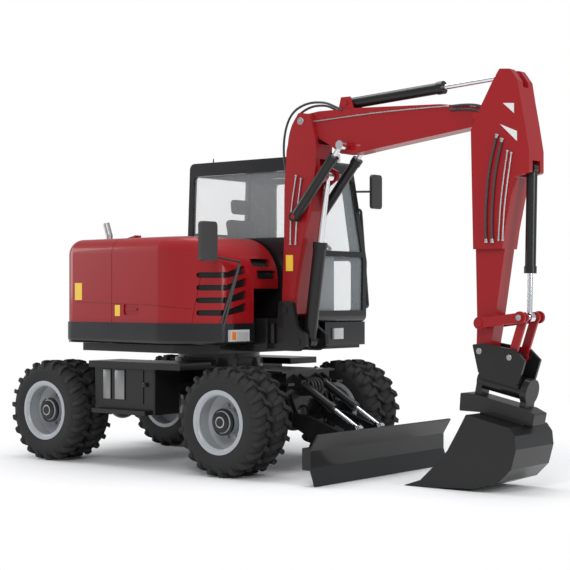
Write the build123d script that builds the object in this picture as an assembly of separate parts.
from build123d import *
import math
import os

os.makedirs("parts", exist_ok=True)

# Driving dimensions in millimetres, X forward from the slewing axis, Y to the left, Z up from the ground
ORIGIN_X = 900  # the parts are written out with X counted from the middle of the machine's length

# Wheels
TYRE_R = 490
TYRE_W = 230
TWIN_GAP = 20
BEAD_R = 262
BEAD_GAP = 0.8
LUGS = 12
LUG_SHARE = 0.5
LUG_TAPER = 0.78
LUG_ROOT_R = 460
SIDES = 24
SHOULDER = 16
SHOULDER_R = 450
WALL_R = 400
RIM_INSET = 16
FLANGE_ROOM = 3
REAR_X = -1325
FRONT_X = 925
OUTER_Y = 980
INNER_Y = OUTER_Y - TYRE_W - TWIN_GAP
AXLE_Z = TYRE_R
KINGPIN_Y = 585
HUB_R = 118
HUB_END_Y = 1060
RIM_WALL = 9
HUB_FACE_Y = OUTER_Y - 95 - 60
SPINDLE_R = 95
STUB_R = 40
STUB_L = 90
KINGPIN_R = 25
FLANGE_R = 288

# Chassis
CHASSIS_REAR_X = -1500
CHASSIS_FRONT_X = 1100
CHASSIS_HALF = 330
CHASSIS_BOTTOM_Z = 650
CHASSIS_TOP_Z = 900
TOP_PLATE = 20
TOP_PLATE_HALF = 400
RING_R = 430
RING_TOP_Z = 1015
BOX_OUT_Y = 960
BOX_IN_Y = 600
BOX_REAR_X = -760
BOX_FRONT_X = 40
BOX_BOTTOM_Z = 500
BOX_TOP_Z = 930
EYE_REAR_Y = 270
EYE_FRONT_Y = 375
EYE_Z = 790
EYE_T = 24
EYE_HALF = 45
EYE_HOLE_X = 48
EYE_HOLE_R = 22
TOW_REACH = 130
TOW_Z = 715
TOW_T = 30
TOW_HOLE_R = 21

# Dozer blade
BLADE_X = 1960
BLADE_HALF = 1050
BLADE_H = 440
BLADE_BOTTOM_Z = 4
BLADE_T = 14
BLADE_PIVOT = (1130, 500)
BLADE_ARM_Y = 300
BLADE_CYL_BASE = (1160, 800)
BLADE_CYL_EYE = (1800, 420)
BLADE_CYL_Y = 170

# Upper structure
DECK_BOTTOM_Z = 1070
DECK_TOP_Z = 1155
DECK_INSET = 230
SKIRT_TOP_Z = 1357
HOOD_TOP_Z = 2165
TAIL_R = 1470
SIDE_REAR_Y = 905
WEIGHT_FRONT_X = -1000
CORNER_REAR_X = -1210
FRONT_EDGE_X = 740
BAY_INNER_Y = -345
SIDE_END = (100, 997)
CURVE_MID = (440, 928)
CURVE_END = (715, 790)
BROW_R = 420
BRIDGE_Z = 1680
BRIDGE_INNER_Y = 20
HOOD_INSET = 15
CORNER_R = 160
PANEL_T = 28
EXHAUST_X = -1050
EXHAUST_Y = -470
HOOD_HINGE = (-492, 2186)
HOOD_HINGE_Y = (-640, -200)
HINGE_R = 12
HOOD_SPLIT_X = -545
RIM_R = 150
GRILLE_T = 8
GROOVE = 6

# Cab
CAB_RIGHT_Y = 60
CAB_LEFT_Y = 1000
CAB_REAR_X = -470
CAB_FRONT_X = 1060
CAB_FLOOR_Z = 1357
CAB_ROOF_Z = 2935
CAB_WALL = 45
CAB_POST = 62
SILL_Z = 2170
GLASS_T = 6
FIT = 0.05

# Swing post hinge
POST_X = 905
POST_PIN_R = 38
LUG_R = 78
LUG_T = 50
LUG_BOTTOM_Z = 1115
LUG_TOP_Z = 1400
POST_FIT = 0.05
FOOT_ROOM = 95

# Working equipment, every pin given as (x, z) in the boom's own plane
BOOM_Y = -150
BOOM_HALF = 125
PIN_R = 32
SMALL_PIN_R = 24
FOOT = (1077, 1480)
KNEE = (1223, 3211)
ARM_PIN = (3072, 3117)
LIFT_BASE = (1230, 1190)
LIFT_EYE = (1440, 2700)
ADJUST_BASE = (1206, 2333)
ADJUST_EYE = (1726, 2954)
ARM_CYL_BASE = (1690, 3345)
ARM_CYL_EYE = (3323, 3440)
BUCKET_CYL_BASE = (3535, 2655)
ROCKER_PIN = (3130, 1384)
LINK_PIN = (3510, 1432)
TIP_PIN = (3115, 1150)
TOOL_PIN = (3400, 1104)
TILT_REAR = (3110, 905)
TILT_SLOPE = 12
TILT_LENGTH = 375
TILT_R = 80
LINK_PLATE_Y = 98
LINK_PLATE_T = 26
COUPLER_PLATE_Y = 130
COUPLER_PLATE_T = 28
ROCKER_PLATE_Y = 160
ROCKER_PLATE_T = 22
COUPLER_LOW_W = 34
BUCKET_HALF = 320
BUCKET_LIP = (2484, 4)


def block(x0, x1, y0, y1, z0, z1):
    """A box between two corners."""
    size = Box(x1 - x0, y1 - y0, z1 - z0)
    return Pos((x0 + x1) / 2, (y0 + y1) / 2, (z0 + z1) / 2) * size


def side_face(points, radius=0):
    """A face in the XZ plane from its corners, with its corners rounded where a radius is given."""
    if radius:
        return Plane.XZ * make_face(FilletPolyline(*points, radius=radius, close=True))
    return Plane.XZ * make_face(Polyline(*points, close=True))


def side_slab(points, y0, y1, radius=0):
    """A side view outline carried from y0 to y1."""
    return extrude(Pos(0, y0, 0) * side_face(points, radius), amount=y1 - y0, dir=(0, 1, 0))


def plan_slab(points, z0, z1, radius=0):
    """A plan view outline carried from z0 to z1."""
    if radius:
        line = FilletPolyline(*points, radius=radius, close=True)
    else:
        line = Polyline(*points, close=True)
    return extrude(Pos(0, 0, z0) * make_face(line), amount=z1 - z0, dir=(0, 0, 1))


def bar(start, end, r):
    """A round bar from one point to another."""
    a = Vector(*start)
    b = Vector(*end)
    run = b - a
    return Plane(origin=a, z_dir=run) * Cylinder(r, run.length, align=(Align.CENTER, Align.CENTER, Align.MIN))


def cross_pin(pin, y0, y1, r):
    """A round bar along Y through a point of the side view."""
    return bar((pin[0], y0, pin[1]), (pin[0], y1, pin[1]), r)


def tube_path(points, r, radius):
    """A bent round tube along a route with rounded corners."""
    route = FilletPolyline(*points, radius=radius)
    start = Plane(origin=route @ 0, z_dir=route % 0)
    return sweep(start * Circle(r), path=route)


def put(node, solid):
    """Write one node, with X counted from the middle of the machine's length."""
    export_step(Pos(-ORIGIN_X, 0, 0) * solid, "parts/" + node + ".step")


def mirror_y(solid):
    """The same solid on the other side of the machine."""
    return mirror(solid, about=Plane.XZ)


# Wheels
def ring_face(r, count):
    """A regular face in the XZ plane that lies round a circle of the given radius."""
    return Plane.XZ * RegularPolygon(r, count, major_radius=False)


def lug_star(turn):
    """The side outline of one half of the tread, its lugs turned by a share of their pitch."""
    points = []
    half_angle = math.pi * LUG_SHARE / LUGS
    tip_angle = half_angle * LUG_TAPER
    tip_r = TYRE_R / math.cos(tip_angle)
    for i in range(LUGS):
        middle = 2 * math.pi * (i + turn) / LUGS - math.pi / 2
        for r, offset in ((LUG_ROOT_R, -half_angle), (tip_r, -tip_angle), (tip_r, tip_angle), (LUG_ROOT_R, half_angle)):
            points.append((r * math.cos(middle + offset), r * math.sin(middle + offset)))
    return Plane.XZ * make_face(Polyline(*points, close=True))


def half_tyre(side):
    """The tyre from its middle out to one sidewall, with one row of lugs."""
    turn = 0 if side > 0 else 0.5
    half = TYRE_W / 2
    tread = extrude(lug_star(turn), amount=half - SHOULDER, dir=(0, side, 0))
    rings = Sketch() + [Pos(0, side * y, 0) * ring_face(r, SIDES) for r, y in ((SHOULDER_R, half - SHOULDER), (WALL_R, half))]
    wall = loft(rings)
    bead_y = half - RIM_INSET
    cone_rings = Sketch() + [
        Pos(0, side * bead_y, 0) * ring_face(FLANGE_R + FLANGE_ROOM, SIDES),
        Pos(0, side * (half + 1), 0) * ring_face(WALL_R, SIDES),
    ]
    hole = extrude(ring_face(BEAD_R, SIDES), amount=half, dir=(0, side, 0))
    return tread + wall - loft(cone_rings) - hole


def tyre(y):
    """One lugged tyre, its middle at y."""
    return Pos(0, y, 0) * (half_tyre(1) + half_tyre(-1))


def tyre_pair(x, side):
    pair = tyre(side * OUTER_Y) + tyre(side * INNER_Y)
    return Pos(x, 0, AXLE_Z) * pair


def rim_pair(x, side):
    """Both rims of a twin wheel with the hub between them."""
    half = TYRE_W / 2 - 6
    rims = None
    for y in (OUTER_Y, INNER_Y):
        inner_r = BEAD_R - BEAD_GAP - RIM_WALL
        profile = [
            (inner_r, y - half),
            (FLANGE_R, y - half),
            (FLANGE_R, y - half + RIM_WALL),
            (inner_r + RIM_WALL, y - half + RIM_WALL),
            (inner_r + RIM_WALL, y + half - RIM_WALL),
            (FLANGE_R, y + half - RIM_WALL),
            (FLANGE_R, y + half),
            (inner_r, y + half),
        ]
        shell = revolve(Plane.XY * make_face(Polyline(*profile, close=True)), axis=Axis.Y)
        rims = shell if rims is None else rims + shell
    disc_y = OUTER_Y - 95
    disc = revolve(
        Plane.XY
        * make_face(
            Polyline(
                (HUB_R - 20, disc_y),
                (HUB_R + 60, disc_y),
                (BEAD_R - 5, disc_y + 40),
                (BEAD_R - 5, disc_y + 26),
                (HUB_R + 66, disc_y - 14),
                (HUB_R - 20, disc_y - 14),
                close=True,
            )
        ),
        axis=Axis.Y,
    )
    spacer_y = INNER_Y + 60
    spacer = revolve(
        Plane.XY
        * make_face(
            Polyline(
                (HUB_R - 20, disc_y - 14),
                (HUB_R + 40, disc_y - 14),
                (BEAD_R - 5, spacer_y + 14),
                (BEAD_R - 5, spacer_y),
                (HUB_R + 26, disc_y - 30),
                (HUB_R - 20, disc_y - 30),
                close=True,
            )
        ),
        axis=Axis.Y,
    )
    hub = revolve(
        Plane.XY
        * make_face(
            Polyline(
                (0, disc_y - 60),
                (HUB_R, disc_y - 60),
                (HUB_R, HUB_END_Y - 70),
                (HUB_R - 22, HUB_END_Y - 20),
                (46, HUB_END_Y),
                (0, HUB_END_Y),
                close=True,
            )
        ),
        axis=Axis.Y,
    )
    bore = bar((0, disc_y - 62, 0), (0, disc_y - 60 + STUB_L, 0), STUB_R + FIT)
    wheel = rims + disc + spacer + hub - bore
    if side < 0:
        wheel = mirror_y(wheel)
    return Pos(x, 0, AXLE_Z) * wheel



for axle, x in (("front", FRONT_X), ("rear", REAR_X)):
    for name, side in (("left", 1), ("right", -1)):
        put("tyres_" + axle + "_" + name, tyre_pair(x, side))
        put("wheel_" + axle + "_" + name, rim_pair(x, side))


# Axles
def axle_beam(x, end_y):
    beam = side_slab([(x - 70, AXLE_Z - 60), (x + 70, AXLE_Z - 60), (x + 70, AXLE_Z + 60), (x - 70, AXLE_Z + 60)],
                     -end_y, end_y, 18)
    bowl = Pos(x, 0, AXLE_Z) * Sphere(150)
    seat = block(x - 110, x + 110, -CHASSIS_HALF + 60, CHASSIS_HALF - 60, AXLE_Z + 40, CHASSIS_BOTTOM_Z)
    return beam + bowl + seat


def rear_axle():
    ends = bar((REAR_X, -HUB_FACE_Y + 2, AXLE_Z), (REAR_X, HUB_FACE_Y - 2, AXLE_Z), SPINDLE_R)
    reach = HUB_FACE_Y + STUB_L - 3
    stubs = bar((REAR_X, -reach, AXLE_Z), (REAR_X, reach, AXLE_Z), STUB_R)
    return axle_beam(REAR_X, 560) + ends + stubs


def front_axle():
    beam = axle_beam(FRONT_X, KINGPIN_Y - 40)
    for side in (1, -1):
        for z0, z1 in ((AXLE_Z - 150, AXLE_Z - 112), (AXLE_Z + 112, AXLE_Z + 150)):
            ear = Pos(FRONT_X, side * KINGPIN_Y, z0) * Cylinder(
                52, z1 - z0, align=(Align.CENTER, Align.CENTER, Align.MIN))
            inner = side * (KINGPIN_Y - 175)
            arm = block(FRONT_X - 45, FRONT_X + 45, min(inner, side * KINGPIN_Y), max(inner, side * KINGPIN_Y), z0, z1)
            beam = beam + ear + arm
        stub = side * (KINGPIN_Y - 150)
        beam = beam + block(FRONT_X - 50, FRONT_X + 50, min(stub, stub - side * 30), max(stub, stub - side * 30),
                            AXLE_Z - 150, AXLE_Z + 150)
    # the beam stops short of the knuckle's swing
    for side in (1, -1):
        near = side * (KINGPIN_Y - 118)
        far = side * (KINGPIN_Y + 200)
        beam = beam - block(FRONT_X - 200, FRONT_X + 200, min(near, far), max(near, far),
                            AXLE_Z - 111, AXLE_Z + 111)
    for side in (1, -1):
        pin = Pos(FRONT_X, side * KINGPIN_Y, AXLE_Z - 150) * Cylinder(
            KINGPIN_R, 300, align=(Align.CENTER, Align.CENTER, Align.MIN))
        beam = beam + pin
    return beam


def knuckle(side):
    body = Pos(FRONT_X, side * KINGPIN_Y, AXLE_Z - 110) * Cylinder(
        60, 220, align=(Align.CENTER, Align.CENTER, Align.MIN))
    spindle = bar((FRONT_X, side * KINGPIN_Y, AXLE_Z), (FRONT_X, side * (HUB_FACE_Y - 2), AXLE_Z), SPINDLE_R)
    stub = bar((FRONT_X, side * KINGPIN_Y, AXLE_Z), (FRONT_X, side * (HUB_FACE_Y + STUB_L - 3), AXLE_Z), STUB_R)
    hole = Pos(FRONT_X, side * KINGPIN_Y, AXLE_Z - 130) * Cylinder(
        KINGPIN_R + FIT, 260, align=(Align.CENTER, Align.CENTER, Align.MIN))
    return body + spindle + stub - hole


put("rear_axle", rear_axle())
put("front_axle", front_axle())
put("knuckle_left", knuckle(1))
put("knuckle_right", knuckle(-1))


# Chassis
def chassis():
    body = side_slab(
        [
            (CHASSIS_REAR_X, CHASSIS_BOTTOM_Z + 60),
            (CHASSIS_REAR_X + 120, CHASSIS_BOTTOM_Z),
            (CHASSIS_FRONT_X, CHASSIS_BOTTOM_Z),
            (CHASSIS_FRONT_X, CHASSIS_TOP_Z),
            (CHASSIS_REAR_X, CHASSIS_TOP_Z),
        ],
        -CHASSIS_HALF,
        CHASSIS_HALF,
    )
    plate = block(CHASSIS_REAR_X, CHASSIS_FRONT_X + 10, -TOP_PLATE_HALF, TOP_PLATE_HALF,
                  CHASSIS_TOP_Z, CHASSIS_TOP_Z + TOP_PLATE)
    ring = Pos(0, 0, CHASSIS_TOP_Z + TOP_PLATE) * Cylinder(
        RING_R, RING_TOP_Z - CHASSIS_TOP_Z - TOP_PLATE, align=(Align.CENTER, Align.CENTER, Align.MIN))
    solid = body + plate + ring
    # blade hinge cheeks and the cylinder's cheeks on the front face
    for side in (1, -1):
        y0 = side * BLADE_ARM_Y
        for dy in (-46, 30):
            cheek = side_slab(
                [
                    (CHASSIS_FRONT_X - 40, CHASSIS_BOTTOM_Z + 20),
                    (CHASSIS_FRONT_X - 40, 480),
                    (BLADE_PIVOT[0] - 20, BLADE_PIVOT[1] - 50),
                    (BLADE_PIVOT[0] + 50, BLADE_PIVOT[1] - 50),
                    (BLADE_PIVOT[0] + 50, BLADE_PIVOT[1] + 50),
                    (CHASSIS_FRONT_X, CHASSIS_BOTTOM_Z + 60),
                ],
                y0 + dy,
                y0 + dy + 16,
            )
            solid = solid + cheek
        y1 = side * BLADE_CYL_Y
        for dy in (-58, 42):
            cheek = side_slab(
                [
                    (CHASSIS_FRONT_X - 20, 740),
                    (BLADE_CYL_BASE[0] + 40, BLADE_CYL_BASE[1] - 40),
                    (BLADE_CYL_BASE[0] + 40, BLADE_CYL_BASE[1] + 30),
                    (CHASSIS_FRONT_X - 20, CHASSIS_TOP_Z),
                ],
                y1 + dy,
                y1 + dy + 16,
            )
            solid = solid + cheek
        solid = solid + cross_pin(BLADE_PIVOT, y0 - 50, y0 + 50, SMALL_PIN_R)
        solid = solid + cross_pin(BLADE_CYL_BASE, y1 - 62, y1 + 62, SMALL_PIN_R)
    return solid


def lashing_eyes():
    """Four plates with an upright hole, two at each end of the chassis, and the towing tongue at the rear."""
    eyes = None
    for side in (1, -1):
        rear_y = side * EYE_REAR_Y
        front_y = side * EYE_FRONT_Y
        rear_x = CHASSIS_REAR_X - EYE_HOLE_X
        front_x = CHASSIS_FRONT_X + EYE_HOLE_X
        root_y = side * (CHASSIS_HALF - 5)
        rear = block(rear_x - EYE_HALF, CHASSIS_REAR_X + 20, rear_y - EYE_HALF, rear_y + EYE_HALF, EYE_Z, EYE_Z + EYE_T)
        rear = rear - bar((rear_x, rear_y, EYE_Z - 5), (rear_x, rear_y, EYE_Z + EYE_T + 5), EYE_HOLE_R)
        front = plan_slab(
            [(CHASSIS_FRONT_X - 80, root_y), (front_x + EYE_HALF, root_y), (front_x + EYE_HALF, front_y + side * EYE_HALF),
             (CHASSIS_FRONT_X - 20, front_y + side * EYE_HALF), (CHASSIS_FRONT_X - 80, front_y)], EYE_Z, EYE_Z + EYE_T)
        front = front - bar((front_x, front_y, EYE_Z - 5), (front_x, front_y, EYE_Z + EYE_T + 5), EYE_HOLE_R)
        pair = rear + front
        eyes = pair if eyes is None else eyes + pair
    tongue = plan_slab(
        [
            (CHASSIS_REAR_X + 10, -90),
            (CHASSIS_REAR_X - TOW_REACH, -55),
            (CHASSIS_REAR_X - TOW_REACH, 55),
            (CHASSIS_REAR_X + 10, 90),
        ],
        TOW_Z,
        TOW_Z + TOW_T,
    )
    bore = Pos(CHASSIS_REAR_X - TOW_REACH + 60, 0, TOW_Z - 5) * Cylinder(
        TOW_HOLE_R, TOW_T + 10, align=(Align.CENTER, Align.CENTER, Align.MIN))
    return eyes + (tongue - bore)


put("chassis", chassis() + lashing_eyes())


PLATE_T = 8
PLATES = ((-630, -525, 625, 915), (-475, -340, 625, 915), (-290, -100, 600, 915))


def side_box(side):
    """The step box between the wheels with its top rail and steps."""
    y0, y1 = side * BOX_IN_Y, side * BOX_OUT_Y
    lo, hi = min(y0, y1), max(y0, y1)
    body = plan_slab([(BOX_REAR_X, lo), (BOX_FRONT_X, lo), (BOX_FRONT_X, hi), (BOX_REAR_X, hi)],
                     BOX_BOTTOM_Z, BOX_TOP_Z, 20)
    e0, e1 = side * CHASSIS_HALF, side * (BOX_IN_Y + 10)
    arms = None
    for x in (BOX_REAR_X + 90, BOX_FRONT_X - 90):
        arm = block(x - 40, x + 40, min(e0, e1), max(e0, e1), 700, 780)
        arms = arm if arms is None else arms + arm
    r0, r1 = side * BOX_IN_Y, side * (BOX_OUT_Y + 70)
    rail = block(BOX_REAR_X, BOX_FRONT_X + 380, min(r0, r1), max(r0, r1), BOX_TOP_Z, BOX_TOP_Z + 62)
    s0, s1 = side * (BOX_OUT_Y - 5), side * (BOX_OUT_Y + 90)
    step = block(BOX_REAR_X + 60, BOX_FRONT_X - 40, min(s0, s1), max(s0, s1), BOX_BOTTOM_Z, BOX_BOTTOM_Z + 40)
    f0, f1 = side * (BOX_OUT_Y - 5), side * (BOX_OUT_Y + PLATE_T)
    plates = None
    for x0, x1, z0, z1 in PLATES:
        plate = block(x0, x1, min(f0, f1), max(f0, f1), z0, z1)
        plates = plate if plates is None else plates + plate
    return body + arms + rail + step + plates


put("side_box_right", side_box(-1))
put("side_box_left", side_box(1))


# Dozer blade with its arms, and the two cylinders that lift it
def blade():
    top = BLADE_BOTTOM_Z + BLADE_H
    board = side_slab(
        [
            (BLADE_X + 5, BLADE_BOTTOM_Z),
            (BLADE_X - 45, BLADE_BOTTOM_Z + 150),
            (BLADE_X - 45, BLADE_BOTTOM_Z + 300),
            (BLADE_X + 35, top),
            (BLADE_X + 50, top - 10),
            (BLADE_X - 45 + BLADE_T, BLADE_BOTTOM_Z + 296),
            (BLADE_X - 45 + BLADE_T, BLADE_BOTTOM_Z + 154),
            (BLADE_X + 5 + BLADE_T, BLADE_BOTTOM_Z),
        ],
        -BLADE_HALF,
        BLADE_HALF,
    )
    back = side_slab(
        [
            (BLADE_X - 130, BLADE_BOTTOM_Z + 130),
            (BLADE_X - 35, BLADE_BOTTOM_Z + 130),
            (BLADE_X - 35, BLADE_BOTTOM_Z + 320),
            (BLADE_X - 130, BLADE_BOTTOM_Z + 320),
        ],
        -BLADE_HALF + 10,
        BLADE_HALF - 10,
        12,
    )
    solid = board + back
    for side in (1, -1):
        y = side * BLADE_ARM_Y
        arm = side_slab(
            [
                (BLADE_PIVOT[0] - 42, BLADE_PIVOT[1] - 42),
                (BLADE_X - 60, BLADE_BOTTOM_Z + 60),
                (BLADE_X - 60, BLADE_BOTTOM_Z + 330),
                (BLADE_PIVOT[0] + 200, BLADE_PIVOT[1] + 20),
                (BLADE_PIVOT[0] + 20, BLADE_PIVOT[1] + 42),
                (BLADE_PIVOT[0] - 42, BLADE_PIVOT[1] + 42),
            ],
            y - 25,
            y + 25,
            10,
        )
        arm = arm - cross_pin(BLADE_PIVOT, y - 60, y + 60, SMALL_PIN_R + FIT)
        solid = solid + arm
        yc = side * BLADE_CYL_Y
        for dy in (-50, 36):
            lug = side_slab(
                [
                    (BLADE_X - 100, BLADE_BOTTOM_Z + 300),
                    (BLADE_X - 100, BLADE_BOTTOM_Z + 330),
                    (BLADE_CYL_EYE[0] - 20, BLADE_CYL_EYE[1] + 45),
                    (BLADE_CYL_EYE[0] - 45, BLADE_CYL_EYE[1] + 10),
                    (BLADE_CYL_EYE[0] - 30, BLADE_CYL_EYE[1] - 60),
                    (BLADE_X - 100, BLADE_BOTTOM_Z + 140),
                ],
                yc + dy,
                yc + dy + 14,
            )
            solid = solid + lug
    cross = block(BLADE_PIVOT[0] + 420, BLADE_PIVOT[0] + 500, -BLADE_ARM_Y, BLADE_ARM_Y, 300, 380)
    return solid + cross


put("blade", blade())


def at_fraction(base, eye, length):
    """The point a given length along the line from base to eye."""
    dx, dz = eye[0] - base[0], eye[1] - base[1]
    full = math.hypot(dx, dz)
    return (base[0] + dx * length / full, base[1] + dz * length / full)


def barrel(base, eye, y, r, length, rod_r, pin_r):
    """A hydraulic cylinder's barrel: its base eye, its tube open at the gland end and its gland."""
    start = at_fraction(base, eye, r * 0.5)
    end = at_fraction(base, eye, length)
    gland = at_fraction(base, eye, length - 60)
    bottom = at_fraction(base, eye, r + 8)
    past = at_fraction(base, eye, length + 5)
    body = bar((start[0], y, start[1]), (end[0], y, end[1]), r)
    body = body + bar((gland[0], y, gland[1]), (end[0], y, end[1]), r + 7) + cross_pin(base, y - r * 0.8, y + r * 0.8, r)
    body = body - bar((bottom[0], y, bottom[1]), (past[0], y, past[1]), rod_r + FIT)
    return body - cross_pin(base, y - r * 2, y + r * 2, pin_r + FIT)


def rod(base, eye, y, r, start_length, eye_r, eye_half):
    """A cylinder's rod: from inside the barrel to its own eye."""
    inner = at_fraction(base, eye, start_length)
    return bar((inner[0], y, inner[1]), (eye[0], y, eye[1]), r) + cross_pin(eye, y - eye_half, y + eye_half, eye_r)


BLADE_ROD_R = 20
BLADE_BARREL_R = 38
barrels = None
rods = None
for side in (1, -1):
    b = barrel(BLADE_CYL_BASE, BLADE_CYL_EYE, side * BLADE_CYL_Y, BLADE_BARREL_R, 430, BLADE_ROD_R, SMALL_PIN_R)
    r = rod(BLADE_CYL_BASE, BLADE_CYL_EYE, side * BLADE_CYL_Y, BLADE_ROD_R, 250, 30, 30)
    barrels = b if barrels is None else barrels + b
    rods = r if rods is None else rods + r
put("blade_cylinder_barrels", barrels)
put("blade_cylinder_rods", rods)


# Upper structure
def plan_outline(inset):
    """The upper structure's plan: round tail, tapered sides, and a right front that curves in to a flat nose."""
    tail = TAIL_R - inset
    y_rear = SIDE_REAR_Y - inset
    y_side = SIDE_END[1] - inset
    shift = inset * 0.7
    left = (CORNER_REAR_X, y_rear)
    right = (CORNER_REAR_X, -y_rear)
    right_side = (SIDE_END[0], -y_side)
    corner = (CURVE_END[0] - shift, -CURVE_END[1] + shift)
    middle = (CURVE_MID[0] - shift * 0.5, -CURVE_MID[1] + inset * 0.9)
    front_x = FRONT_EDGE_X - inset
    tail_arc = ThreePointArc(left, (-tail, 0), right)
    side_line = Line(right, right_side)
    front_arc = ThreePointArc(right_side, middle, corner)
    rest = Polyline(corner, (front_x, -CURVE_END[1] + 150), (front_x, y_side), left)
    return make_face([tail_arc, side_line, front_arc, rest])


def plan_solid(inset, z0, z1):
    return extrude(Pos(0, 0, z0) * plan_outline(inset), amount=z1 - z0, dir=(0, 0, 1))


def deck():
    plate = plan_solid(DECK_INSET, DECK_BOTTOM_Z, DECK_TOP_Z)
    cab_floor = block(FRONT_EDGE_X - 260, CAB_FRONT_X - 60, CAB_RIGHT_Y + 20, CAB_LEFT_Y - 30, DECK_BOTTOM_Z + 30,
                      DECK_TOP_Z)
    ring = Pos(0, 0, RING_TOP_Z + 0.5) * Cylinder(RING_R - 30, DECK_BOTTOM_Z - RING_TOP_Z,
                                                  align=(Align.CENTER, Align.CENTER, Align.MIN))
    nose = plan_slab(
        [
            (POST_X - 545, BOOM_Y - 170),
            (POST_X - 110, BOOM_Y - LUG_R),
            (POST_X - 110, BOOM_Y + LUG_R),
            (POST_X - 545, BOOM_Y + 170),
        ],
        DECK_BOTTOM_Z + 20,
        LUG_TOP_Z,
        10,
    )
    for z0, z1 in ((LUG_BOTTOM_Z, LUG_BOTTOM_Z + LUG_T), (LUG_TOP_Z - LUG_T, LUG_TOP_Z)):
        lug = block(POST_X - 115, POST_X, BOOM_Y - LUG_R, BOOM_Y + LUG_R, z0, z1)
        eye = Pos(POST_X, BOOM_Y, z0) * Cylinder(LUG_R, z1 - z0, align=(Align.CENTER, Align.CENTER, Align.MIN))
        nose = nose + lug + eye
    pivot = Pos(POST_X, BOOM_Y, LUG_BOTTOM_Z - 15) * Cylinder(
        POST_PIN_R, LUG_TOP_Z - LUG_BOTTOM_Z + 30, align=(Align.CENTER, Align.CENTER, Align.MIN))
    nose = nose + pivot
    return plate + cab_floor + ring + nose


put("upper_frame", deck())


def skirt():
    """The dark skirt round the deck, thick at the tail where it is the counterweight."""
    outer = plan_solid(0, DECK_TOP_Z, SKIRT_TOP_Z)
    outer = fillet(outer.edges().filter_by(Axis.Z), CORNER_R)
    outer = fillet(outer.faces().sort_by(Axis.Z)[0].edges(), 40)
    inner = plan_solid(PANEL_T + 40, DECK_TOP_Z - 1, SKIRT_TOP_Z + 1)
    ring = outer - inner
    weight = plan_solid(40, DECK_TOP_Z, SKIRT_TOP_Z) & block(-TAIL_R, WEIGHT_FRONT_X, -1000, 1000, DECK_TOP_Z, SKIRT_TOP_Z)
    keep_clear = block(-300, 1200, BAY_INNER_Y, 1200, DECK_TOP_Z - 1, SKIRT_TOP_Z + 1)
    inner_wall = block(SIDE_END[0] + 100, FRONT_EDGE_X - 20, BAY_INNER_Y - 20, BAY_INNER_Y, DECK_TOP_Z, SKIRT_TOP_Z)
    left = plan_slab([(-420, 850), (-420, 890), (-280, CAB_LEFT_Y + 20), (CAB_FRONT_X - 30, CAB_LEFT_Y + 20),
                      (CAB_FRONT_X - 30, CAB_LEFT_Y - 20), (-265, CAB_LEFT_Y - 20)], DECK_TOP_Z, SKIRT_TOP_Z)
    lamp_panel = block(CAB_FRONT_X - 60, CAB_FRONT_X - 30, CAB_RIGHT_Y + 300, CAB_LEFT_Y + 20, DECK_BOTTOM_Z + 60,
                       SKIRT_TOP_Z)
    return (ring + weight - keep_clear) + inner_wall + left + lamp_panel


put("skirt_and_counterweight", skirt())


def hood_form(inset):
    """The hood and cover as one closed form, drawn in by inset on every side."""
    top = HOOD_TOP_Z - inset
    front = FRONT_EDGE_X - HOOD_INSET - inset
    form = plan_solid(HOOD_INSET + inset, SKIRT_TOP_Z, top)
    form = fillet(form.edges().filter_by(Axis.Z), CORNER_R - inset)
    form = fillet(form.faces().sort_by(Axis.Z)[-1].edges(), RIM_R - inset)
    brow_box = block(front - BROW_R, front + 200, -2000, 2000, top - BROW_R, top + 10)
    brow = cross_pin((front - BROW_R, top - BROW_R), -2000, 2000, BROW_R)
    form = form - (brow_box - brow)
    form = form - block(CAB_REAR_X - 40 - inset, 2000, BRIDGE_INNER_Y - inset, 2000, 0, 3000)
    return form - block(150 - inset, 2000, BAY_INNER_Y - inset, 2000, 0, BRIDGE_Z + inset)


def front_slot(points):
    """A slot seen from the front, cut backwards through the cover's nose."""
    face = Plane.YZ * make_face(FilletPolyline(*points, radius=18, close=True))
    return extrude(Pos(450, 0, 0) * face, amount=400, dir=(1, 0, 0))


def louvres():
    """Four slots that wrap the front corner and rise inwards, and two on the bridge behind the boom."""
    cuts = None
    for i in range(LOUVRES):
        z = LOUVRE_TOP_Z - i * LOUVRE_PITCH
        rise = LOUVRE_RISE
        cut = front_slot([(-890, z - 26), (-720, z - 26), (-450, z + rise - 42), (-450, z + rise + 42), (-720, z + 26),
                          (-890, z + 26)])
        cuts = cut if cuts is None else cuts + cut
    cuts = cuts + front_slot([(-335, 1885), (-45, 1885), (-45, 1960), (-335, 1960)])
    return cuts + front_slot([(-290, 1770), (0, 1770), (0, 1850), (-290, 1850)])


def seams(skin):
    """The groove between hood and lower door, the upright crease behind the nose and the latch's recess."""
    seam = side_slab([(-1060, 1548), (0, 1523), (457, 1488), (457, 1494), (0, 1529), (-1060, 1554)], -1100, -500)
    crease = side_slab([(452, SKIRT_TOP_Z + 5), (458, SKIRT_TOP_Z + 5), (541, 1800), (535, 1800)], -1100, -500)
    latch = side_slab([(-374, 1431), (-164, 1431), (-164, 1534), (-374, 1534)], -1100, -500, 20)
    handle = side_slab([(-350, 1474), (-188, 1474), (-188, 1492), (-350, 1492)], -1100, -500)
    grooves = (seam + crease - latch) & skin
    recess = (latch - handle) & (hood_form(0) - hood_form(GROOVE * 2))
    return grooves + recess


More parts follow.
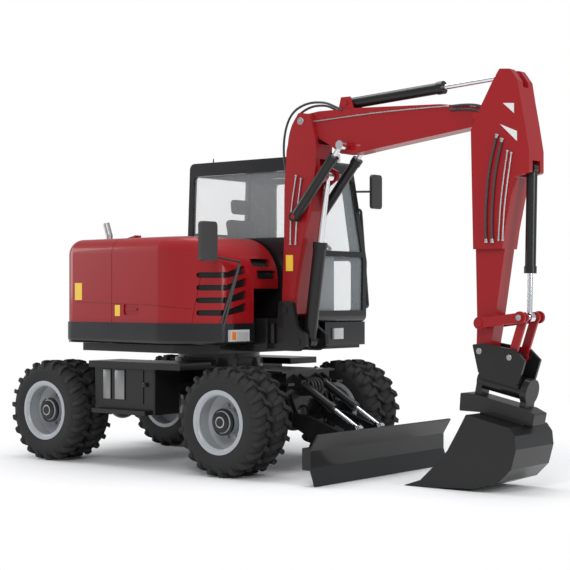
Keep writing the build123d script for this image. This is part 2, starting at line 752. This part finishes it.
LOUVRES = 4
LOUVRE_TOP_Z = 1800
LOUVRE_PITCH = 115
LOUVRE_RISE = 57
slots = louvres()
outer_form = hood_form(0)
inner_form = hood_form(PANEL_T)
skin = outer_form - hood_form(GROOVE)
whole_hood = outer_form - inner_form - slots - seams(skin)
grille_zone = block(440, 1000, -960, -410, 1400, 1920) + block(440, 1000, -400, 10, 1745, 1985)
put("cover_grilles", (inner_form - hood_form(PANEL_T + GRILLE_T)) & grille_zone)
front_half = block(HOOD_SPLIT_X + 3, 2000, -2000, 2000, 0, 3000)
rear_half = block(-2000, HOOD_SPLIT_X - 3, -2000, 2000, 0, 3000)


def hood_hinge(fixed):
    """The hood hinge's knuckles, the middle one on the cover and the outer ones on the hood."""
    made = None
    for y in HOOD_HINGE_Y:
        if fixed:
            z0 = HOOD_TOP_Z
            part = cross_pin(HOOD_HINGE, y - 18, y + 18, HINGE_R)
            part = part + block(HOOD_HINGE[0] - 4, HOOD_HINGE[0] + 30, y - 18, y + 18, z0, HOOD_HINGE[1])
        else:
            part = None
            for y0 in (y - 40, y + 20):
                leaf = cross_pin(HOOD_HINGE, y0, y0 + 20, HINGE_R)
                leaf = leaf + side_slab([(HOOD_HINGE[0] - 100, HOOD_TOP_Z), (HOOD_HINGE[0] - 60, HOOD_TOP_Z),
                                         (HOOD_HINGE[0] - 50, HOOD_TOP_Z + 8), HOOD_HINGE,
                                         (HOOD_HINGE[0], HOOD_HINGE[1] + 8), (HOOD_HINGE[0] - 100, HOOD_TOP_Z + 8)],
                                        y0, y0 + 20)
                part = leaf if part is None else part + leaf
        made = part if made is None else made + part
    return made


put("hood", (whole_hood & rear_half) + hood_hinge(False))
put("front_cover", (whole_hood & front_half) + hood_hinge(True))
put("engine", block(-985, -560, -560, 420, DECK_TOP_Z, 1850))
put("exhaust", bar((EXHAUST_X, EXHAUST_Y, HOOD_TOP_Z), (EXHAUST_X, EXHAUST_Y, HOOD_TOP_Z + 60), 34)
    + bar((EXHAUST_X, EXHAUST_Y, HOOD_TOP_Z + 50), (EXHAUST_X - 45, EXHAUST_Y, HOOD_TOP_Z + 170), 34))


# Cab
def cab_side(inset):
    return [
        (CAB_REAR_X + inset, CAB_FLOOR_Z + inset),
        (CAB_FRONT_X - inset, CAB_FLOOR_Z + inset),
        (CAB_FRONT_X - inset + 10, 1950),
        (CAB_FRONT_X - 170 - inset, CAB_ROOF_Z - inset),
        (CAB_REAR_X + 30 + inset, CAB_ROOF_Z - inset),
        (CAB_REAR_X + inset, 2200),
    ]


def cab_windows():
    """The openings cut through the cab's four sides, one solid each."""
    lo_y, hi_y = CAB_RIGHT_Y - 50, CAB_LEFT_Y + 50
    side = side_slab(
        [
            (CAB_REAR_X + CAB_POST, SILL_Z),
            (CAB_FRONT_X - 175, SILL_Z),
            (CAB_FRONT_X - 250, CAB_ROOF_Z - 130),
            (CAB_REAR_X + CAB_POST + 20, CAB_ROOF_Z - 130),
        ],
        lo_y,
        (CAB_RIGHT_Y + CAB_LEFT_Y) / 2,
        50,
    )
    front_low = block(CAB_FRONT_X - 110, CAB_FRONT_X + 60, CAB_RIGHT_Y + CAB_POST, CAB_LEFT_Y - CAB_POST, 1470, 1990)
    front_high = block(CAB_FRONT_X - 260, CAB_FRONT_X + 60, CAB_RIGHT_Y + CAB_POST, CAB_LEFT_Y - CAB_POST, 2045,
                       CAB_ROOF_Z - 120)
    rear = block(CAB_REAR_X - 60, CAB_REAR_X + 110, CAB_RIGHT_Y + CAB_POST, CAB_LEFT_Y - CAB_POST, 2240,
                 CAB_ROOF_Z - 130)
    return side, front_low, front_high, rear


DOOR_REAR_X = CAB_REAR_X + 330
DOOR_FRONT_X = CAB_FRONT_X - 90
DOOR_TOP_Z = CAB_ROOF_Z - 105
DOOR_BOTTOM_Z = CAB_FLOOR_Z + 30


def door_outline(gap):
    return [
        (DOOR_REAR_X + gap, DOOR_BOTTOM_Z + gap),
        (DOOR_FRONT_X - gap, DOOR_BOTTOM_Z + gap),
        (DOOR_FRONT_X - gap, 1960),
        (DOOR_FRONT_X - 145 - gap, DOOR_TOP_Z - gap),
        (DOOR_REAR_X + gap, DOOR_TOP_Z - gap),
    ]


cab_body = side_slab(cab_side(0), CAB_RIGHT_Y, CAB_LEFT_Y, 60)
cab_hollow = side_slab(cab_side(CAB_WALL), CAB_RIGHT_Y + CAB_WALL, CAB_LEFT_Y - CAB_WALL, 40)
door_hole = side_slab(door_outline(0), CAB_LEFT_Y - CAB_WALL - 20, CAB_LEFT_Y + 50, 40)
wall = cab_body - cab_hollow
window_cuts = cab_windows()
shell = wall - door_hole
for cut in window_cuts:
    shell = shell - cut

skin = side_slab(cab_side(CAB_WALL / 2), CAB_RIGHT_Y + CAB_WALL / 2, CAB_LEFT_Y - CAB_WALL / 2, 50)
skin = skin - side_slab(cab_side(CAB_WALL / 2 + GLASS_T), CAB_RIGHT_Y + CAB_WALL / 2 + GLASS_T,
                        CAB_LEFT_Y - CAB_WALL / 2 - GLASS_T, 46)
glass = None
for cut in window_cuts:
    pane = skin & cut
    glass = pane if glass is None else glass + pane
put("cab_glass", glass)


def door_hinge(fixed):
    """The door hinge's knuckles beside its rear edge, the middle one on the cab and the outer ones on the door."""
    made = None
    for z in DOOR_HINGE_Z:
        heights = ((z - 20, z + 20),) if fixed else ((z - 50, z - 22), (z + 22, z + 50))
        for z0, z1 in heights:
            knuckle = Pos(DOOR_HINGE_X, DOOR_HINGE_Y, z0) * Cylinder(
                HINGE_R, z1 - z0, align=(Align.CENTER, Align.CENTER, Align.MIN))
            reach = (DOOR_HINGE_X - 50, DOOR_HINGE_X) if fixed else (DOOR_HINGE_X, DOOR_HINGE_X + 60)
            leaf = block(reach[0], reach[1], CAB_LEFT_Y, CAB_LEFT_Y + 10, z0, z1)
            leaf = leaf + block(DOOR_HINGE_X - 6, DOOR_HINGE_X + 6, CAB_LEFT_Y, DOOR_HINGE_Y, z0, z1)
            part = knuckle + leaf
            made = part if made is None else made + part
    return made


DOOR_HINGE_X = DOOR_REAR_X
DOOR_HINGE_Y = CAB_LEFT_Y + 26
DOOR_HINGE_Z = (1600, 2350)
door_wall = (cab_body - cab_hollow) & side_slab(door_outline(5), CAB_LEFT_Y - CAB_WALL, CAB_LEFT_Y + 5, 36)
door_low = side_slab(
    [
        (DOOR_REAR_X + 65, DOOR_BOTTOM_Z + 70),
        (DOOR_FRONT_X - 65, DOOR_BOTTOM_Z + 70),
        (DOOR_FRONT_X - 65, 1960),
        (DOOR_REAR_X + 65, 1960),
    ],
    CAB_LEFT_Y - 100,
    CAB_LEFT_Y + 100,
    40,
)
door_high = side_slab(
    [
        (DOOR_REAR_X + 65, 2025),
        (DOOR_FRONT_X - 75, 2025),
        (DOOR_FRONT_X - 190, DOOR_TOP_Z - 65),
        (DOOR_REAR_X + 65, DOOR_TOP_Z - 65),
    ],
    CAB_LEFT_Y - 100,
    CAB_LEFT_Y + 100,
    40,
)
put("cab_door", door_wall - door_low - door_high + door_hinge(False))
put("cab_shell", shell + door_hinge(True))
put("door_glass", (skin & door_low) + (skin & door_high))

seat_base = block(-200, 260, 320, 780, CAB_FLOOR_Z + CAB_WALL, 1700)
seat = block(-180, 280, 310, 790, 1700.5, 1830) + side_slab(
    [(-180, 1830), (-60, 1830), (-150, 2420), (-260, 2420)], 320, 780, 30)
seat = seat + side_slab([(-215, 2430), (-150, 2430), (-170, 2600), (-235, 2600)], 420, 680, 25)
seat = seat + block(-210, -170, 480, 620, 2400, 2440)
put("seat", seat + seat_base)
steering_wheel = extrude(RegularPolygon(172, 24) - RegularPolygon(148, 24), amount=22)
put("console", block(700, 900, 420, 680, CAB_FLOOR_Z + CAB_WALL, 2050)
    + Pos(760, 550, 2110) * Rotation(0, 25, 0) * steering_wheel + bar((800, 550, 2040), (752, 550, 2140), 26)
    + bar((757, 390, 2120), (757, 710, 2120), 10))


# Mirrors, lamps and hand rails
MIRROR_RIGHT_Y = -1250
MIRROR_W = 220
MIRROR_APEX = (800, -630, 1920)
mirror_x = 857
right_mirror = fillet(block(mirror_x - 18, mirror_x + 18, MIRROR_RIGHT_Y, MIRROR_RIGHT_Y + MIRROR_W, 1920, 2270).edges()
                      .filter_by(Axis.X), 35)
for z in (1215, 1345):
    right_mirror = right_mirror + bar((690, -775, z), MIRROR_APEX, 11)
right_mirror = right_mirror + bar(MIRROR_APEX, (mirror_x, MIRROR_RIGHT_Y + MIRROR_W - 30, 1960), 10)
skirt_solid = skirt()
left_mirror = fillet(block(1060, 1092, CAB_LEFT_Y + 60, CAB_LEFT_Y + 235, 2480, 2820).edges().filter_by(Axis.X), 35)
left_mirror = left_mirror + bar((890, CAB_LEFT_Y - 20, 2650), (1076, CAB_LEFT_Y + 85, 2650), 11)
put("mirrors", right_mirror - skirt_solid - outer_form + (left_mirror - cab_body))
RAIL_OUT_Y = CAB_LEFT_Y + 60
put("hand_rails", tube_path([(955, CAB_LEFT_Y, 2470), (955, RAIL_OUT_Y, 2470), (1040, RAIL_OUT_Y, 1500),
                             (1040, CAB_LEFT_Y, 1500)], 14, 30))
right_lamp = block(FRONT_EDGE_X - 60, FRONT_EDGE_X + 16, -714, -443, 1193, 1299) - skirt_solid
right_lamp = right_lamp & block(FRONT_EDGE_X - 25, FRONT_EDGE_X + 20, -800, -400, 1150, 1350)
left_lamp = block(CAB_FRONT_X - 30, CAB_FRONT_X - 8, 480, 630, 1193, 1299)
put("head_lamps", right_lamp + left_lamp)
put("work_lamps", block(800, 890, 260, 380, 2935, 3010) + block(800, 890, 680, 800, 2935, 3010))


# Working equipment
def cheeks(points, y0, y1, t, radius=0):
    """Two side plates of a welded box section."""
    return side_slab(points, y0, y0 + t, radius) + side_slab(points, y1 - t, y1, radius)


def post():
    """The post that the lower boom and its lift cylinder stand on, hinged to the upper frame's nose."""
    wide = BOOM_HALF + 50
    plate = [
        (POST_X + LUG_R + 12, 1105),
        (1230, 1105),
        (1325, 1150),
        (1315, 1260),
        (1210, 1330),
        (1165, 1560),
        (1005, 1560),
        (POST_X + LUG_R + 12, 1420),
    ]
    body = side_slab(plate, BOOM_Y - wide, BOOM_Y + wide, 20)
    slot = block(POST_X + LUG_R + 60, 1600, BOOM_Y - BOOM_HALF - 4, BOOM_Y + BOOM_HALF + 4, 1000, 1800)
    slot = slot + block(POST_X, 1600, BOOM_Y - BOOM_HALF - 4, BOOM_Y + BOOM_HALF + 4, FOOT[1] - FOOT_ROOM, 1800)
    z0 = LUG_BOTTOM_Z + LUG_T + 2
    z1 = LUG_TOP_Z - LUG_T - 2
    hub = Pos(POST_X, BOOM_Y, z0) * Cylinder(LUG_R - 6, z1 - z0, align=(Align.CENTER, Align.CENTER, Align.MIN))
    web = block(POST_X, POST_X + LUG_R + 40, BOOM_Y - LUG_R + 6, BOOM_Y + LUG_R - 6, z0, z1)
    hole = Pos(POST_X, BOOM_Y, z0 - 5) * Cylinder(POST_PIN_R + POST_FIT, z1 - z0 + 10,
                                                 align=(Align.CENTER, Align.CENTER, Align.MIN))
    body = body - slot + hub + web - hole
    foot_pin = cross_pin(FOOT, BOOM_Y - wide - 8, BOOM_Y + wide + 8, PIN_R)
    base_pin = cross_pin(LIFT_BASE, BOOM_Y - wide - 8, BOOM_Y + wide + 8, PIN_R)
    return body + foot_pin + base_pin


put("swing_post", post())


def boom_lower():
    outline = [
        (1010, 1430),
        (1135, 1430),
        (1150, 1600),
        (1185, 1800),
        (1230, 2050),
        (1262, 2200),
        (1330, 2450),
        (1395, 2780),
        (1400, 3000),
        (1330, 3270),
        (1200, 3290),
        (1120, 3180),
        (1060, 2950),
        (1035, 2600),
        (1030, 2100),
        (1007, 1572),
    ]
    solid = side_slab(outline, BOOM_Y - BOOM_HALF, BOOM_Y + BOOM_HALF, 25)
    solid = solid - cross_pin(FOOT, -900, 900, PIN_R + FIT)
    solid = solid - side_slab([(1100, 3050), (1600, 2960), (1700, 3500), (1000, 3500), (1060, 3120)],
                              BOOM_Y - BOOM_HALF + 40, BOOM_Y + BOOM_HALF - 40)
    lug_side = [(1300, 2560), (1420, 2630), (1500, 2680), (1500, 2750), (1420, 2790), (1300, 2760)]
    lug = side_slab(lug_side, BOOM_Y - 95, BOOM_Y - 60) + side_slab(lug_side, BOOM_Y + 60, BOOM_Y + 95)
    eye_room = side_slab([(1330, 2560), (1600, 2560), (1600, 2860), (1330, 2860)], BOOM_Y - 60, BOOM_Y + 60)
    barrel_room = side_slab([(1312, 2370), (1600, 2370), (1600, 2600), (1312, 2600)], BOOM_Y - 72, BOOM_Y + 72)
    solid = solid - eye_room - barrel_room
    lugs = cheeks([(1150, 2260), (1270, 2260), (1270, 2400), (1150, 2400)], BOOM_Y - BOOM_HALF - 1,
                  BOOM_Y + BOOM_HALF + 1, 10)
    pins = cross_pin(ADJUST_BASE, BOOM_Y - BOOM_HALF - 95, BOOM_Y + BOOM_HALF + 95, SMALL_PIN_R)
    knee_pin = cross_pin(KNEE, BOOM_Y - BOOM_HALF, BOOM_Y + BOOM_HALF, PIN_R)
    return solid + lug + lugs + pins + knee_pin


put("boom_lower", boom_lower())


def boom_upper():
    outline = [
        (1150, 3170),
        (1250, 3130),
        (1500, 2990),
        (1650, 2890),
        (1800, 2880),
        (2100, 2920),
        (3010, 3030),
        (3130, 3060),
        (3130, 3180),
        (3060, 3200),
        (2700, 3250),
        (1800, 3290),
        (1400, 3292),
        (1200, 3270),
    ]
    solid = side_slab(outline, BOOM_Y - BOOM_HALF + 43, BOOM_Y + BOOM_HALF - 43, 20)
    solid = solid - cross_pin(KNEE, -900, 900, PIN_R + FIT)
    lugs = cheeks([(1600, 3240), (1800, 3240), (1740, 3400), (1640, 3400)], BOOM_Y - 70, BOOM_Y + 70, 16)
    pin = cross_pin(ARM_CYL_BASE, BOOM_Y - 80, BOOM_Y + 80, SMALL_PIN_R)
    tip_pin = cross_pin(ARM_PIN, BOOM_Y - BOOM_HALF, BOOM_Y + BOOM_HALF, PIN_R)
    eye_pin = cross_pin(ADJUST_EYE, BOOM_Y - BOOM_HALF - 29, BOOM_Y + BOOM_HALF + 29, PIN_R)
    return solid + lugs + pin + tip_pin + eye_pin


put("boom_upper", boom_upper())


def arm():
    outline = [
        (3026, 3001),
        (3132, 3210),
        (3240, 3400),
        (3300, 3490),
        (3400, 3480),
        (3472, 3379),
        (3500, 3213),
        (3540, 3005),
        (3575, 2800),
        (3575, 2620),
        (3443, 2590),
        (3349, 2153),
        (3230, 1400),
        (3175, 1110),
        (3050, 1100),
        (3060, 1400),
        (3044, 2162),
    ]
    t = BOOM_HALF - 43 + 3
    solid = side_slab(outline, BOOM_Y - BOOM_HALF, BOOM_Y + BOOM_HALF, 18)
    slot = block(2900, 3200, BOOM_Y - t, BOOM_Y + t, 2960, 3300)
    top_slot = side_slab([(3200, 3310), (3250, 3318), (3500, 3330), (3500, 3600), (3100, 3600), (3100, 3310)],
                         BOOM_Y - 45, BOOM_Y + 45)
    back_slot = side_slab([(3450, 2720), (3450, 2560), (3700, 2560), (3700, 2720)], BOOM_Y - 65, BOOM_Y + 65)
    narrow = block(2900, 3500, BOOM_Y + 80, BOOM_Y + 200, 1000, 2000)
    narrow = narrow + block(2900, 3500, BOOM_Y - 200, BOOM_Y - 80, 1000, 2000)
    solid = solid - slot - top_slot - back_slot - narrow
    solid = solid - cross_pin(ARM_PIN, -900, 900, PIN_R + FIT)
    solid = solid - cross_pin(ROCKER_PIN, -900, 900, PIN_R)
    solid = solid - cross_pin(TIP_PIN, -900, 900, PIN_R + FIT)
    cyl_pin = cross_pin(BUCKET_CYL_BASE, BOOM_Y - 90, BOOM_Y + 90, SMALL_PIN_R)
    rocker_pin = cross_pin(ROCKER_PIN, BOOM_Y - ROCKER_PLATE_Y - 20, BOOM_Y + ROCKER_PLATE_Y + 20, PIN_R)
    return solid + cyl_pin + rocker_pin


put("arm", arm())

put("lift_cylinder_barrel", barrel(LIFT_BASE, LIFT_EYE, BOOM_Y, 60, 920, 30, PIN_R))
put("lift_cylinder_rod", rod(LIFT_BASE, LIFT_EYE, BOOM_Y, 30, 620, 45, 40))
adjust_barrels = None
adjust_rods = None
for side in (1, -1):
    y = BOOM_Y + side * (BOOM_HALF + 60)
    b = barrel(ADJUST_BASE, ADJUST_EYE, y, 45, 690, 22, SMALL_PIN_R)
    r = rod(ADJUST_BASE, ADJUST_EYE, y, 22, 130, 40, 30)
    adjust_barrels = b if adjust_barrels is None else adjust_barrels + b
    adjust_rods = r if adjust_rods is None else adjust_rods + r
put("adjust_cylinder_barrels", adjust_barrels)
put("adjust_cylinder_rods", adjust_rods)
put("arm_cylinder_barrel", barrel(ARM_CYL_BASE, ARM_CYL_EYE, BOOM_Y, 50, 1000, 25, SMALL_PIN_R))
put("arm_cylinder_rod", rod(ARM_CYL_BASE, ARM_CYL_EYE, BOOM_Y, 25, 700, 42, 38))
put("bucket_cylinder_barrel", barrel(BUCKET_CYL_BASE, LINK_PIN, BOOM_Y, 45, 860, 22, SMALL_PIN_R))
put("bucket_cylinder_rod", rod(BUCKET_CYL_BASE, LINK_PIN, BOOM_Y, 22, 360, 40, 34)
    + cross_pin(LINK_PIN, BOOM_Y - 78, BOOM_Y + 78, SMALL_PIN_R))


def strap(a, b, y0, y1, r):
    """A flat link with round ends between two pins, with a hole at each."""
    dx, dz = b[0] - a[0], b[1] - a[1]
    full = math.hypot(dx, dz)
    nx, nz = -dz / full * r * 0.8, dx / full * r * 0.8
    web = side_slab([(a[0] + nx, a[1] + nz), (b[0] + nx, b[1] + nz), (b[0] - nx, b[1] - nz), (a[0] - nx, a[1] - nz)],
                    y0, y1)
    return web + cross_pin(a, y0, y1, r) + cross_pin(b, y0, y1, r)


rocker = None
for side in (1, -1):
    y = BOOM_Y + side * ROCKER_PLATE_Y
    plate = strap(ROCKER_PIN, LINK_PIN, y - ROCKER_PLATE_T / 2, y + ROCKER_PLATE_T / 2, 52)
    plate = plate - cross_pin(ROCKER_PIN, -900, 900, PIN_R + FIT)
    plate = plate + cross_pin(LINK_PIN, min(y, y + side * 28), max(y, y + side * 28), PIN_R)
    rocker = plate if rocker is None else rocker + plate
put("rocker", rocker)

link = None
for side in (1, -1):
    y = BOOM_Y + side * LINK_PLATE_Y
    plate = strap(LINK_PIN, TOOL_PIN, y - LINK_PLATE_T / 2, y + LINK_PLATE_T / 2, 45)
    pin_end = BOOM_Y + side * (COUPLER_PLATE_Y + COUPLER_PLATE_T / 2)
    plate = plate + cross_pin(LINK_PIN, min(y, pin_end), max(y, pin_end), PIN_R)
    link = plate if link is None else link + plate
put("link", link - cross_pin(TOOL_PIN, -900, 900, PIN_R + FIT))

def tilted(u, w):
    """A point of the side view from its place along and above the tilting axis."""
    slope = math.radians(TILT_SLOPE)
    x = TILT_REAR[0] + u * math.cos(slope) + w * math.sin(slope)
    z = TILT_REAR[1] - u * math.sin(slope) + w * math.cos(slope)
    return (x, z)


def tilt_bar(u0, u1, r):
    a = tilted(u0, 0)
    b = tilted(u1, 0)
    return bar((a[0], BOOM_Y, a[1]), (b[0], BOOM_Y, b[1]), r)


coupler = tilt_bar(0, TILT_LENGTH, TILT_R)
for side in (1, -1):
    y = BOOM_Y + side * COUPLER_PLATE_Y
    plate = side_slab(
        [
            (3050, 1205),
            (3160, 1215),
            (3450, 1168),
            (3545, 1080),
            tilted(TILT_LENGTH - 6, 70),
            tilted(TILT_LENGTH - 30, COUPLER_LOW_W),
            tilted(30, COUPLER_LOW_W),
            tilted(-20, 70),
        ],
        y - COUPLER_PLATE_T / 2,
        y + COUPLER_PLATE_T / 2,
        12,
    )
    coupler = coupler + plate
floor = side_slab([tilted(10, 20), tilted(TILT_LENGTH - 10, 20), tilted(TILT_LENGTH - 10, TILT_R + 10),
                   tilted(10, TILT_R + 10)], BOOM_Y - COUPLER_PLATE_Y, BOOM_Y + COUPLER_PLATE_Y)
coupler = coupler + floor
pin_half = COUPLER_PLATE_Y + COUPLER_PLATE_T / 2
coupler = coupler + cross_pin(TIP_PIN, BOOM_Y - pin_half, BOOM_Y + pin_half, PIN_R)
coupler = coupler + cross_pin(TOOL_PIN, BOOM_Y - pin_half, BOOM_Y + pin_half, PIN_R)
put("tilt_coupler", coupler)

HITCH_HALF = 105
hitch = side_slab(
    [
        tilted(-170, -150),
        tilted(-60, -128),
        tilted(TILT_LENGTH + 70, -128),
        tilted(545, -150),
        tilted(545, -245),
        tilted(440, -262),
        tilted(45, -262),
        tilted(-150, -300),
    ],
    BOOM_Y - HITCH_HALF,
    BOOM_Y + HITCH_HALF,
    12,
)
for u0, u1, r in ((-55, -1, TILT_R), (TILT_LENGTH + 1, TILT_LENGTH + 60, TILT_R + 30)):
    hitch = hitch + tilt_bar(u0, u1, r)
    hitch = hitch + side_slab([tilted(u0, -200), tilted(u1, -200), tilted(u1, 0), tilted(u0, 0)], BOOM_Y - 70, BOOM_Y + 70)
put("tilting_hitch", hitch)


def bucket():
    wall = 16
    top_front = tilted(40, -272)
    top_back = tilted(455, -272)
    outer = [
        BUCKET_LIP,
        (2844, 10),
        (3180, 28),
        (3400, 95),
        (3515, 208),
        (3560, 371),
        (3548, 480),
        top_back,
        top_front,
        (3019, 501),
        (2912, 321),
        (2765, 169),
        (2646, 59),
    ]
    body = side_slab(outer, BOOM_Y - BUCKET_HALF, BOOM_Y + BUCKET_HALF)
    inside = [
        (2300, 26),
        (2844, 26),
        (3175, 46),
        (3388, 110),
        (3500, 218),
        (3543, 371),
        (3532, 470),
        (top_back[0] - 4, top_back[1] - wall - 4),
        (top_front[0] - 60, top_front[1] + 60 * math.tan(math.radians(TILT_SLOPE)) - wall),
        (2500, 620),
    ]
    body = body - side_slab(inside, BOOM_Y - BUCKET_HALF + wall, BOOM_Y + BUCKET_HALF - wall)
    for side in (1, -1):
        y = BOOM_Y + side * 70
        ear = side_slab([tilted(45, -276), tilted(440, -276), tilted(440, -262.5), tilted(45, -262.5)], y - 30, y + 30)
        body = body + ear
    return body


put("bucket", bucket())
print("nodes written:", len(os.listdir("parts")))
